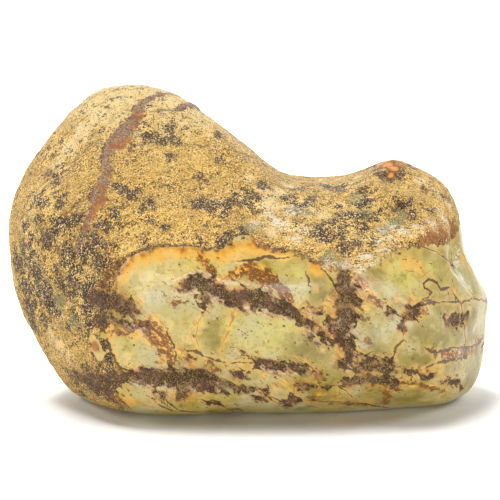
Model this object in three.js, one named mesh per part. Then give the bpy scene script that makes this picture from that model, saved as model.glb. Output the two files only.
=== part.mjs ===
// A water-worn nephrite pebble, lying on its flattest side: one solid stone with a high rounded end at -X,
// a saddle, and a lower, boxier end at +X that carries a small knob, pits and a notched heel.
// +X runs along its length, -Y is its polished face and +Z is up. The origin is on the surface that it
// rests on, under the middle of its bounding box. All sizes are in millimetres.
import * as THREE from "three";
import { ImprovedNoise } from "three/addons/math/ImprovedNoise.js";
import { mergeVertices } from "three/addons/utils/BufferGeometryUtils.js";

const { degToRad, lerp } = THREE.MathUtils;

// Driving dimensions: the box that the finished pebble fills.
const LENGTH = 110;
const DEPTH = 62;
const HEIGHT = 71;

// How finely the starting icosahedron is cut: each of its 20 faces becomes (EDGE_CUTS + 1)^2 triangles.
const EDGE_CUTS = 20;

// Every surface point is found on a ray from this core, so the stone has no undercuts as seen from it.
const CORE = new THREE.Vector3(0, 0, 30);

// The widest outline seen from the polished face, as [x, z], clockwise from the tip of the high end.
const OUTLINE = [
  [-55, 37.6], [-53.5, 44.8], [-50.5, 52.8], [-45.3, 60.6], [-39.2, 67.5], [-32.8, 71.6], [-25.5, 72.8],
  [-18.6, 71.4], [-12.4, 67.2], [-3.2, 59.6], [4.8, 53.8], [11.2, 50.5], [18.6, 49.9], [25.4, 51.7],
  [31.2, 54.4], [36.9, 53.3], [43, 50.2], [46, 46.1], [47.9, 40.4], [48.8, 34.9], [51.5, 29.2],
  [55, 22.9], [55.3, 17.3], [55.2, 12.8], [54.7, 7.8], [52.6, 2.2], [47.4, -0.9], [36, -1.8],
  [10, -2.2], [-14, -2.2], [-29, -2.2], [-38, -1.4], [-42, 2.4], [-45, 8.3], [-49.2, 15.3],
  [-52.7, 24.5], [-54.8, 33.5],
];
const OUTLINE_STEPS = 1440;

// The outline's plane leans back, so that the top of the stone lies further from the polished face.
const LEAN = degToRad(10);

// The outline's dents fade as a ray leaves its plane: they are smoothed over this spread once the ray leans
// off it by the full angle.
const FADE = { spread: degToRad(26), full: degToRad(45), steps: 6 };

// How far the stone stands out from that plane, and how boxy its section is on each side.
// An exponent of 2 is an ellipse, a higher one is nearer to a box and a lower one nearer to a wedge.
const FRONT = { depth: 33, boxiness: 2.4 };
const BACK = { depth: 31, boxiness: 2.2 };

// Towards the saddle both sections thin to a slope: where it lies around the outline, how far it spreads,
// and its own boxiness.
const SADDLE = { angle: degToRad(56), spread: degToRad(38), boxiness: 1.7 };

// Broad worn flats: the way each one faces, how deep it bites into the rounded body, and how softly it
// meets the rest.
const FLATS = {
  polishedFace: { facing: [0.06, -1, -0.1], bite: 4, soft: 5 },
  longSlope: { facing: [0.08, -0.7, 0.7], bite: 6.5, soft: 5 },
  shoulder: { facing: [-0.62, -0.5, 0.6], bite: 3, soft: 4 },
  besideFace: { facing: [-0.75, -0.65, -0.1], bite: 4, soft: 5 },
  underHighEnd: { facing: [-0.66, -0.45, -0.6], bite: 1.6, soft: 4 },
  underLowEnd: { facing: [0.1, -0.68, -0.72], bite: 2.6, soft: 4 },
  heel: { facing: [0.85, -0.52, -0.05], bite: 4, soft: 4 },
  backOfHighEnd: { facing: [-0.35, 0.9, 0.25], bite: 4.5, soft: 4 },
  upperBack: { facing: [0.1, 0.75, 0.65], bite: 3.5, soft: 4 },
  backOfLowEnd: { facing: [0.5, 0.85, 0.15], bite: 4, soft: 4 },
  lowerBack: { facing: [-0.1, 0.8, -0.6], bite: 3.5, soft: 5 },
  backOfTip: { facing: [-0.85, 0.5, -0.15], bite: 2.5, soft: 4 },
};

// The flats aren't quite level: the width of their unevenness and how far it carries them in or out.
const FLAT_WOBBLE = { width: 26, height: 2.2 };

// Local forms: each follows a line from one point to another, swells (+) or hollows (-) the surface by its
// height, and fades over its reach. A steeper fall gives it a firmer edge.
const FORMS = {
  knob: { from: [32, -1, 54.5], to: [32, 4, 55.5], reach: 4.5, height: 1.4, fall: 2 },
  hollowUnderKnob: { from: [30, -6, 52.5], to: [33, -6.5, 52], reach: 2.6, height: -0.9, fall: 2 },
  deepPit: { from: [32.3, -17, 46], to: [34, -16, 46.5], reach: 3.4, height: -2.4, fall: 3 },
  shallowPit: { from: [23.7, -13.5, 48.5], to: [23.7, -15.5, 47.5], reach: 3, height: -1.3, fall: 3 },
  ridgeBetweenPits: { from: [28.5, -14.2, 48.5], to: [24.1, -19.3, 44.5], reach: 2.2, height: 0.9, fall: 2 },
  rolledShoulder: { from: [26, -26, 38], to: [43, -15, 41.5], reach: 3.6, height: 1, fall: 2 },
  uprightChannel: { from: [20, -28.8, 35.5], to: [21.6, -28.4, 16], reach: 2.8, height: -1.9, fall: 2 },
  swellBesideChannel: { from: [33, -27.5, 28.5], to: [34, -27.5, 19.5], reach: 10, height: 1.3, fall: 2 },
  heelGrooveUpper: { from: [46.1, -9.7, 40.5], to: [45.8, -13.3, 34], reach: 2.6, height: -1.7, fall: 2 },
  heelGrooveLower: { from: [45.8, -13.3, 34], to: [50, -10.5, 27.5], reach: 2.6, height: -1.4, fall: 2 },
  heelNotch: { from: [54, -2, 17], to: [48, -16, 14], reach: 2.2, height: -0.9, fall: 2 },
  hollowBesideFace: { from: [-27, -27.5, 27.5], to: [-31, -25, 25.5], reach: 4.5, height: -1.2, fall: 2 },
  hollowAtFoot: { from: [-25, -28, 10.5], to: [-9, -29, 11.5], reach: 3, height: -0.9, fall: 2 },
  backScoop: { from: [-24, 27, 41], to: [-18, 28, 37], reach: 10, height: -2, fall: 3 },
  backGroove: { from: [-6, 30, 17], to: [24, 27, 35], reach: 3.6, height: -1.5, fall: 2 },
  backKnuckle: { from: [38, 19, 27], to: [40, 17, 21], reach: 8, height: 1.4, fall: 2 },
  topPit: { from: [-34, 16, 60], to: [-32, 18, 59], reach: 3, height: -1.6, fall: 3 },
  tipChip: { from: [-53, 6, 29], to: [-52, 10, 25], reach: 4, height: -1.3, fall: 3 },
};

// Unevenness all over the stone: the width of its swells and how high they stand.
const SWELLS = [
  { width: 20, height: 1.1 },
  { width: 8, height: 0.35 },
];

// The resting flat is cut level, this far above the lowest point of the uncut stone.
const REST_CUT = 1.6;

const noise = new ImprovedNoise();

// Distance from the core to the outline, by angle around it.
function makeRimRadius() {
  const curve = new THREE.CatmullRomCurve3(
    OUTLINE.map(([x, z]) => new THREE.Vector3(x, 0, z).sub(CORE)),
    true,
    "centripetal",
  );
  const spokes = curve
    .getSpacedPoints(OUTLINE_STEPS)
    .slice(0, OUTLINE_STEPS)
    .map((p) => ({ angle: Math.atan2(p.z, p.x), radius: Math.hypot(p.x, p.z) }))
    .sort((a, b) => a.angle - b.angle);
  return (angle) => {
    let low = 0;
    let high = spokes.length;
    while (low < high) {
      const middle = (low + high) >> 1;
      if (spokes[middle].angle < angle) low = middle + 1;
      else high = middle;
    }
    const after = spokes[low % spokes.length];
    const before = spokes[(low + spokes.length - 1) % spokes.length];
    const turn = 2 * Math.PI;
    const span = (after.angle - before.angle + turn) % turn;
    const share = span > 0 ? ((angle - before.angle + turn) % turn) / span : 0;
    return lerp(before.radius, after.radius, share);
  };
}

const rimRadius = makeRimRadius();

// The same for a ray that leans off the outline's plane, which meets a mean of the outline around it.
function fadedRimRadius(angle, offRim) {
  let sum = 0;
  for (let i = -FADE.steps; i <= FADE.steps; i++) sum += rimRadius(angle + (i / FADE.steps) * FADE.spread);
  const mean = sum / (2 * FADE.steps + 1);
  return lerp(rimRadius(angle), mean, Math.min(offRim / FADE.full, 1));
}

// Distance from the core to the rounded body along a direction.
function bodyRadius(direction) {
  const across = Math.hypot(direction.x, direction.z);
  const angle = Math.atan2(direction.z, direction.x);
  // The rim leans, so a ray's depth is measured from the leaning plane.
  const offPlane = direction.y - direction.z * Math.tan(LEAN);
  const rim = fadedRimRadius(angle, Math.atan2(Math.abs(offPlane), across));
  const side = offPlane < 0 ? FRONT : BACK;
  const nearSaddle = Math.exp(-(((angle - SADDLE.angle) / SADDLE.spread) ** 2));
  const boxiness = lerp(side.boxiness, SADDLE.boxiness, nearSaddle);
  const share = (across / rim) ** boxiness + (Math.abs(offPlane) / side.depth) ** boxiness;
  return share ** (-1 / boxiness);
}

// Each flat as a plane: its normal, and its distance from the core once it has bitten into the body.
function makePlanes(directions) {
  return Object.values(FLATS).map(({ facing, bite, soft }) => {
    const normal = new THREE.Vector3(...facing).normalize();
    const reach = Math.max(...directions.map((d) => normal.dot(d) * bodyRadius(d)));
    return { normal, distance: reach - bite, soft };
  });
}

// Smaller of two lengths, rounded off where they are within a softness of each other.
function softMin(a, b, softness) {
  const overlap = Math.max(softness - Math.abs(a - b), 0) / softness;
  return Math.min(a, b) - (overlap * overlap * softness) / 4;
}

function cutByPlanes(radius, direction, planes) {
  const place = direction.clone().multiplyScalar(radius / FLAT_WOBBLE.width);
  return planes.reduce((cut, { normal, distance, soft }, i) => {
    const slope = normal.dot(direction);
    if (slope < 0.05) return cut;
    const wobble = FLAT_WOBBLE.height * noise.noise(place.x, place.y + 5 * i, place.z);
    return softMin(cut, (distance + wobble) / slope, soft);
  }, radius);
}

function formHeight(point) {
  const nearest = new THREE.Vector3();
  return Object.values(FORMS).reduce((sum, { from, to, reach, height, fall }) => {
    const line = new THREE.Line3(new THREE.Vector3(...from), new THREE.Vector3(...to));
    line.closestPointToPoint(point, true, nearest);
    return sum + height * Math.exp(-((nearest.distanceTo(point) / reach) ** fall));
  }, 0);
}

function swellHeight({ x, y, z }) {
  return SWELLS.reduce((sum, { width, height }) => {
    return sum + height * noise.noise(x / width, y / width, z / width);
  }, 0);
}

function surfacePoint(direction, planes) {
  const radius = cutByPlanes(bodyRadius(direction), direction, planes);
  const point = direction.clone().multiplyScalar(radius).add(CORE);
  return point.addScaledVector(direction, formHeight(point) + swellHeight(point));
}

// The icosahedron is first stretched to the stone's proportions, so that its triangles stay even in size.
function makePebble() {
  const geometry = new THREE.IcosahedronGeometry(1, EDGE_CUTS);
  geometry.deleteAttribute("normal");
  geometry.deleteAttribute("uv");
  const solid = mergeVertices(geometry, 1e-4);
  const places = solid.getAttribute("position");
  const proportions = new THREE.Vector3(LENGTH, DEPTH, HEIGHT);
  const directions = Array.from({ length: places.count }, (_, i) =>
    new THREE.Vector3().fromBufferAttribute(places, i).multiply(proportions).normalize(),
  );
  const planes = makePlanes(directions);
  directions.forEach((direction, i) => places.setXYZ(i, ...surfacePoint(direction, planes)));
  return solid;
}

// Levels the resting flat and fills the stated box.
function settle(geometry) {
  const places = geometry.getAttribute("position");
  geometry.computeBoundingBox();
  const floor = geometry.boundingBox.min.z + REST_CUT;
  for (let i = 0; i < places.count; i++) places.setZ(i, Math.max(places.getZ(i), floor));
  geometry.computeBoundingBox();
  const { min, max } = geometry.boundingBox;
  geometry.translate(-(min.x + max.x) / 2, -(min.y + max.y) / 2, -min.z);
  geometry.scale(LENGTH / (max.x - min.x), DEPTH / (max.y - min.y), HEIGHT / (max.z - min.z));
  return geometry;
}

const nephrite = new THREE.MeshStandardMaterial({ color: 0xb59a52, roughness: 0.45, metalness: 0 });
const pebble = new THREE.Mesh(settle(makePebble()), nephrite);
pebble.name = "pebble";

const stone = new THREE.Group();
stone.add(pebble);

export default stone;
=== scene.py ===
import functools
import math

import bpy
import numpy as np
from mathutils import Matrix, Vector
from mathutils.bvhtree import BVHTree


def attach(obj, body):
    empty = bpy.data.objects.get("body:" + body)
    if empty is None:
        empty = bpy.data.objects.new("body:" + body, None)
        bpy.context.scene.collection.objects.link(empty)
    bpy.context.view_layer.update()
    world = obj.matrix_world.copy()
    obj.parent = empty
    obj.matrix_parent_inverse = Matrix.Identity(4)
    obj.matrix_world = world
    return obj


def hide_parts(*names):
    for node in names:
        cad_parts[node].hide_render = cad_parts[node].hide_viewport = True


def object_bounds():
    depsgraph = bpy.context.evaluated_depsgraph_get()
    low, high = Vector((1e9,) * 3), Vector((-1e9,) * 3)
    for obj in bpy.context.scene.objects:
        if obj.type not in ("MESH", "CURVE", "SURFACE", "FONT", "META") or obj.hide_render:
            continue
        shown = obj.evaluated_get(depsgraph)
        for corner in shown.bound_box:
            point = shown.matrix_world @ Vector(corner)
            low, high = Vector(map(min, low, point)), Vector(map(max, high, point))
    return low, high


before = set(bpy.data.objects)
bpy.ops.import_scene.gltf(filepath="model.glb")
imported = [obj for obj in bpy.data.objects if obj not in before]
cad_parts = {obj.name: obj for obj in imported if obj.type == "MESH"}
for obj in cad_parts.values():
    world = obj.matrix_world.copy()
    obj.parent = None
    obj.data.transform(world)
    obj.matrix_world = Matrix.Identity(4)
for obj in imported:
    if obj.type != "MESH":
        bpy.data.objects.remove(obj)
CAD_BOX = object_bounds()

bl_info = {
    "name": "Nephrite Pebble",
    "version": (1, 0, 0),
    "blender": (4, 5, 0),
    "location": "View3D > Sidebar > Pebble",
    "description": "A river pebble of nephrite under a limonite rind, on a pale studio floor",
    "category": "Object",
}

# Lengths are in mm, except the studio's.
MM = 0.001

# The camera stands in front, looks along +Y and a little down, and frames the whole stone.
AIM = Vector((0, 0, 33.9))
CAMERA_DISTANCE = 382
CAMERA_ELEVATION = math.radians(10)
CAMERA_CLIP_START = 10
LENS_MM = 120
SENSOR_MM = 36
SIGHT = Vector((0, math.cos(CAMERA_ELEVATION), -math.sin(CAMERA_ELEVATION)))
UPRIGHT = Vector((0, math.sin(CAMERA_ELEVATION), math.cos(CAMERA_ELEVATION)))
CAMERA = AIM - SIGHT * CAMERA_DISTANCE

# The studio, in metres. A lamp is so far off that only its direction counts: its name, its strength
# and its tilt to the right and to the front, in degrees. A panel is near: its name, its watts, its
# place, its width and its height. The white room lights the stone a little, and shows brighter in
# its polish and behind it.
FLOOR_WIDTH = 1.6
PAPER = "#EEEEEC"
PAPER_ROUGHNESS = 0.9
LAMP_SOFTNESS = math.radians(24)
LAMPS = (
    ("overhead softbox", 3.9, -13, -9),
    ("left softbox", 0.7, -50, 0),
    ("right softbox", 0.9, 45, 0),
)
PANELS = (
    ("left low softbox", 3, (-1.2, -0.3, 0.1), 0.8, 0.25),
    ("right low softbox", 3, (1.2, -0.3, 0.1), 0.8, 0.25),
    ("front softbox", 15, (0, -1.2, 0.05), 1.4, 0.2),
    ("back softbox", 15, (0, 0.9, 0.4), 2.0, 0.8),
)
ROOM_FILL = 0.03
ROOM_MIRRORED = 0.6
ROOM_SEEN = 1.05

# The mesh is welded, subdivided, remeshed evenly and smoothed, and takes its relief in steps of
# weight. The relief comes in above the resting flat. Chalk comes in towards the crest on high ground
# that faces up, and there it is painted overhead light as well as a paler crest.
WELD = 0.001
SUBDIVISIONS = 2
SMOOTHING_ROUNDS = 6
WEIGHT_STEPS = 60
RESTING_CLEARANCE = (0.3, 2.5)
CREST_HEIGHT = (52, 68)
CREST_CHALK_AND_LIGHT = 0.75

# How far around each kind of mark its distance is worked out, and the spacing of a route's points.
WHOLE_STONE = 200
VEIN_REACH = 8
SEAM_REACH = 6
LINE_REACH = 4
ROUTE_STEP = 1.2

# The spread of one octave of Blender's noise, and the surface. Nephrite refracts at 1.61, and is
# given less because a tumbled skin mirrors less than a cut one.
NOISE_SPREAD = 0.13
NEPHRITE_IOR = 1.45
NEPHRITE_GLOW = 0.25
GLOW_DEPTH = 2.0
GLOW_COLOUR = (1.0, 0.8, 0.35)
NEPHRITE_ROUGHNESS = 0.3
RIND_ROUGHNESS = 0.7
WORN_ROUGHNESS = 0.42
BUMP_HEIGHT = 0.1

# Marks are given in mm. (across, up) lies on a plane through AIM, square to the line of
# sight, and drops on the front of the stone along the sight. (x, y, z) settles on the nearest stone.
# A route's marks end with its half width there.

# The rind's edge runs along the front, round the heel, low along the back and under the far end.
RIND_EDGE = [
    (-28, -37.1), (-29.3, -34.8), (-30.3, -32.8), (-29.3, -30.5), (-28.9, -28.4), (-30.5, -25.7),
    (-32.3, -22.9), (-33, -20.2), (-33.5, -17), (-32.5, -13.3), (-31.6, -10.5), (-30.9, -8.5),
    (-30, -4.6), (-27.5, -1.6), (-23.6, -0.5), (-21.1, 0.7), (-15.4, 0.7), (-9.6, 0), (-6, 0.9),
    (-2.3, 2.8), (0.5, 2.1), (3, 0.7), (7.1, -0.2), (11.5, -1.4), (15.6, -2.8), (19.5, -3.7),
    (22.9, -4.1), (26.1, -3.4), (29.1, -2.5), (32.1, -0.9), (35.5, 0.2), (39.2, 0.7), (43.5, 1.6),
    (46.3, 2.5), (47.7, 4.4), (48, 0, 41), (47, 8, 40), (44, 14, 37), (38, 20, 31), (29, 25, 24),
    (18, 28, 19), (8, 29, 16), (-4, 29, 14), (-15, 28, 11), (-26, 25, 8), (-34, 18, 4), (-39, 10, 1),
    (-41, 0, 0), (-40, -9, 0), (-37, -15, 0),
]

DARK_VEINS = {
    "upper band": [(-16, -8.9, 1.15), (-13.8, -7.8, 1.6), (-11.7, -7.1, 1.9), (-9.6, -8.5, 2.1),
        (-6.6, -10.1, 1.6), (-3, -10.8, 2.1), (0.9, -11.5, 2.2), (4.4, -12.3, 1.9), (6.9, -13.1, 1.6),
        (9.4, -14, 1.26), (11.5, -15.8, 0.92), (13.3, -17.2, 0.8), (15.1, -18.3, 0.69), (17, -19.7, 0.55),
        (18.6, -20.9, 0.32)],
    "upper band root": [(-10.3, -10.8, 1.4), (-10.5, -12.8, 0.69)],
    "channel": [(21.5, -5.5, 1.4), (21.8, -7.6, 1.8), (21.9, -9.9, 2.1), (22, -13.3, 2.1),
        (21.5, -16, 2.1), (21.8, -19.5, 1.6), (22.5, -22.5, 1.26), (23.4, -24.8, 1.26)],
    "channel side": [(18.3, -16, 0.92), (19.9, -18.3, 0.92)],
    "channel foot": [(21.3, -26.1, 1.15), (24.8, -26.8, 1.5), (28.2, -26.8, 1.5), (31.2, -26.4, 1.26)],
    "rough foot": [(22.7, -30.7, 1.4), (25.9, -30, 1.7), (28.9, -30, 1.8), (31.6, -29.8, 1.5),
        (33.2, -32.1, 0.69)],
    "low vein": [(31.2, -27.7, 0.8), (35.1, -28.2, 0.69), (37.8, -28.4, 0.69), (40.8, -28.9, 0.69),
        (42.6, -28.6, 0.32)],
    "low spot": [(44.5, -30, 0.23), (46.5, -30, 0.6), (47.9, -30.9, 0.41), (48.4, -31.9, 0.23)],
    "middle streak": [(0.5, -24.5, 0.37), (2.3, -25.7, 0.92), (4.8, -26.4, 1.26), (7.1, -27, 1.03),
        (9.6, -27.7, 0.8), (12.1, -27.5, 0.5), (14.4, -27.7, 0.5), (16.3, -28.6, 0.23)],
    "low bar": [(10.8, -31.2, 0.6), (13.8, -31.2, 0.69), (17.4, -31.4, 0.5)],
    "foot spot": [(8.3, -35.8, 0.92), (10.3, -34.2, 1.15)],
    "low patch": [(-33.5, -29.6, 1.15), (-30.3, -29.3, 1.4), (-26.8, -29.1, 1.6), (-22.7, -29.3, 1.8),
        (-19.7, -29.6, 2.1), (-15.8, -29.8, 2.3), (-11.5, -29.8, 2.5), (-8.3, -30.7, 1.8),
        (-5.5, -31.2, 1.15), (-2.8, -31.9, 0.55), (0.5, -32.1, 0.6), (3.7, -32.1, 0.41)],
    "left patch": [(-36.2, -11, 1.15), (-33.7, -11.2, 1.8), (-30.9, -11.9, 2.1), (-28.2, -12.8, 1.8),
        (-25.9, -14, 0.92)],
    "left streak": [(-34.8, -15.6, 1.15), (-32.1, -16.5, 0.78), (-28.6, -16.7, 0.69),
        (-26.1, -17.2, 0.46), (-23.8, -17.6, 0.41)],
    "hook patch": [(35.5, -15.8, 0.8), (36.9, -14.4, 1.26), (38.7, -13.3, 0.69)],
    "grey patch": [(44.9, -16, 0.92), (47.2, -16, 1.26), (49.5, -15.6, 0.8)],
    "left foot": [(-39, -28.9, 1.4), (-36.2, -30.3, 1.6), (-33.5, -31.9, 1.4), (-30.9, -33.9, 0.92)],
    "small mark": [(32.3, -13.3, 0.32), (32.5, -14.4, 0.41)],
    "dot mark one": [(12.1, -13.8, 0.46), (14, -13.8, 0.55)],
    "dot mark two": [(15.1, -14.7, 0.32), (16, -14.2, 0.37)],
    "dot mark three": [(13.8, -33.9, 0.46), (14.9, -34.6, 0.41)],
    "dot mark four": [(-3.9, -28.4, 0.37), (-2.5, -28.4, 0.55), (-0.9, -28.9, 0.23)],
    "dot mark five": [(-14, -25, 0.6), (-13.3, -25.4, 0.46)],
    "dot mark six": [(-21.3, -33, 0.6), (-19.9, -33.2, 0.69)],
    "dot mark seven": [(-16.3, -33.5, 0.69), (-15.1, -34.2, 0.55)],
    "dot mark eight": [(1.1, -33.9, 0.41), (2.8, -34.2, 0.55), (4.1, -33.9, 0.23)],
    "dot mark nine": [(-8.9, -34.8, 0.37), (-7.8, -35.3, 0.5)],
    "dot mark ten": [(-3.2, -23.6, 0.23), (-2.3, -23.4, 0.32)],
    "heel fan": [(54, 2, 27, 0.4), (53, 6, 24, 1.1), (50, 11, 20, 1.5), (46, 16, 18, 1.3),
        (41, 20, 17, 0.6)],
    "heel foot": [(52, -4, 12, 0.4), (52, 3, 11, 0.9), (50, 9, 9, 1.2), (46, 14, 8, 0.8),
        (42, 18, 10, 0.4)],
    "back band": [(36, 23, 19, 0.5), (29, 26, 17, 1.2), (22, 28, 12, 1.8), (14, 29, 9, 1.6),
        (6, 29, 8, 1.9), (-3, 28, 6, 1.2), (-11, 27, 6, 0.5)],
    "back branch": [(16, 29, 10, 0.8), (14, 27, 5, 1.1), (11, 24, 1, 1.3), (8, 18, 0, 1.1),
        (4, 11, 0, 0.5)],
    "back foot": [(-14, 26, 4, 0.4), (-20, 24, 3, 1.2), (-27, 20, 2, 1.4), (-33, 13, 1, 0.6)],
    "under band": [(30, -12, 0, 0.5), (22, -8, 0, 1.4), (12, -6, 0, 1.9), (2, -3, 0, 1.3),
        (-8, -2, 0, 1.7), (-18, 2, 0, 0.6)],
    "under spur": [(-8, -4, 0, 0.6), (-12, -10, 0, 1.3), (-17, -16, 1, 0.9)],
    "under heel": [(44, -6, 3, 0.4), (38, 0, 1, 1.2), (33, 8, 0, 1.5), (27, 14, 1, 0.7)],
}

# Seams of rust and amber in the nephrite.
RUSTY_SEAMS = {
    "rusty patch": [(-5.5, -6.9, 0.46), (-3, -5.3, 0.92), (0, -4.6, 1.5), (2.8, -6, 1.8),
        (5.5, -7.8, 1.6), (8, -9.6, 1.15), (9.9, -11.5, 0.69)],
    "upper branch": [(-11.5, -1.4, 0.28), (-10.3, -3.2, 0.46), (-8.9, -5, 0.64), (-7.6, -7.1, 0.69),
        (-6.6, -8.9, 0.55)],
    "upper tail": [(-19.7, -10.3, 0.28), (-18.3, -11.2, 0.5), (-17, -12.1, 0.41)],
    "left rust": [(-25, -16.7, 0.92), (-22.9, -18.3, 1.8), (-21.1, -20.4, 2.1), (-19.3, -22.9, 1.4),
        (-18.1, -25.2, 0.69)],
    "left rust level": [(-31.6, -18.8, 0.55), (-28.9, -18.6, 0.69), (-25.9, -17.9, 0.92)],
    "notch wedge": [(41.5, -23.1, 0.32), (44.5, -23.8, 0.83), (47.4, -23.8, 1.01), (49.5, -23.1, 0.78),
        (51.6, -22, 0.5), (53.2, -20.4, 0.41)],
    "round mark": [(26.6, -20.2, 0.6), (27.5, -20.9, 0.64)],
    "left slant": [(-10.1, -24.5, 0.37), (-8.9, -26.4, 0.5), (-7.8, -27.7, 0.37)],
    "low slant": [(33, -30, 0.23), (36.2, -30.5, 0.32), (39, -30.9, 0.37), (42.2, -31.9, 0.46),
        (44.9, -32.5, 0.32)],
    "foot upright": [(30.7, -30.7, 0.6), (31.2, -32.8, 0.6), (31.4, -35.3, 0.46)],
    "comb mark": [(25, -14.9, 0.37), (26.8, -15.8, 0.69), (28.6, -14.9, 0.32)],
    "comb upper": [(24.5, -6.9, 0.5), (26.1, -8.7, 0.83), (28, -11, 0.73), (29.8, -13.1, 0.37)],
    "hook foot": [(34.6, -17.9, 0.46), (35.5, -16.3, 0.73), (37.4, -15.1, 0.69), (39.7, -13.8, 0.5)],
    "channel edge": [(17.2, -14.7, 0.37), (18.6, -17.4, 0.64), (19.9, -19.9, 0.78), (21.1, -22.5, 0.6)],
    "foot level": [(17.2, -35.3, 0.28), (21.8, -35.1, 0.37), (26.4, -35.3, 0.37), (29.8, -35.8, 0.46)],
    "left border": [(-33.7, -7.8, 0.69), (-32.1, -6, 0.92), (-30.7, -3.9, 0.69), (-28.9, -2.3, 0.37)],
    "left low": [(-34.8, -27.5, 0.55), (-33.5, -26.6, 0.46)],
}

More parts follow.
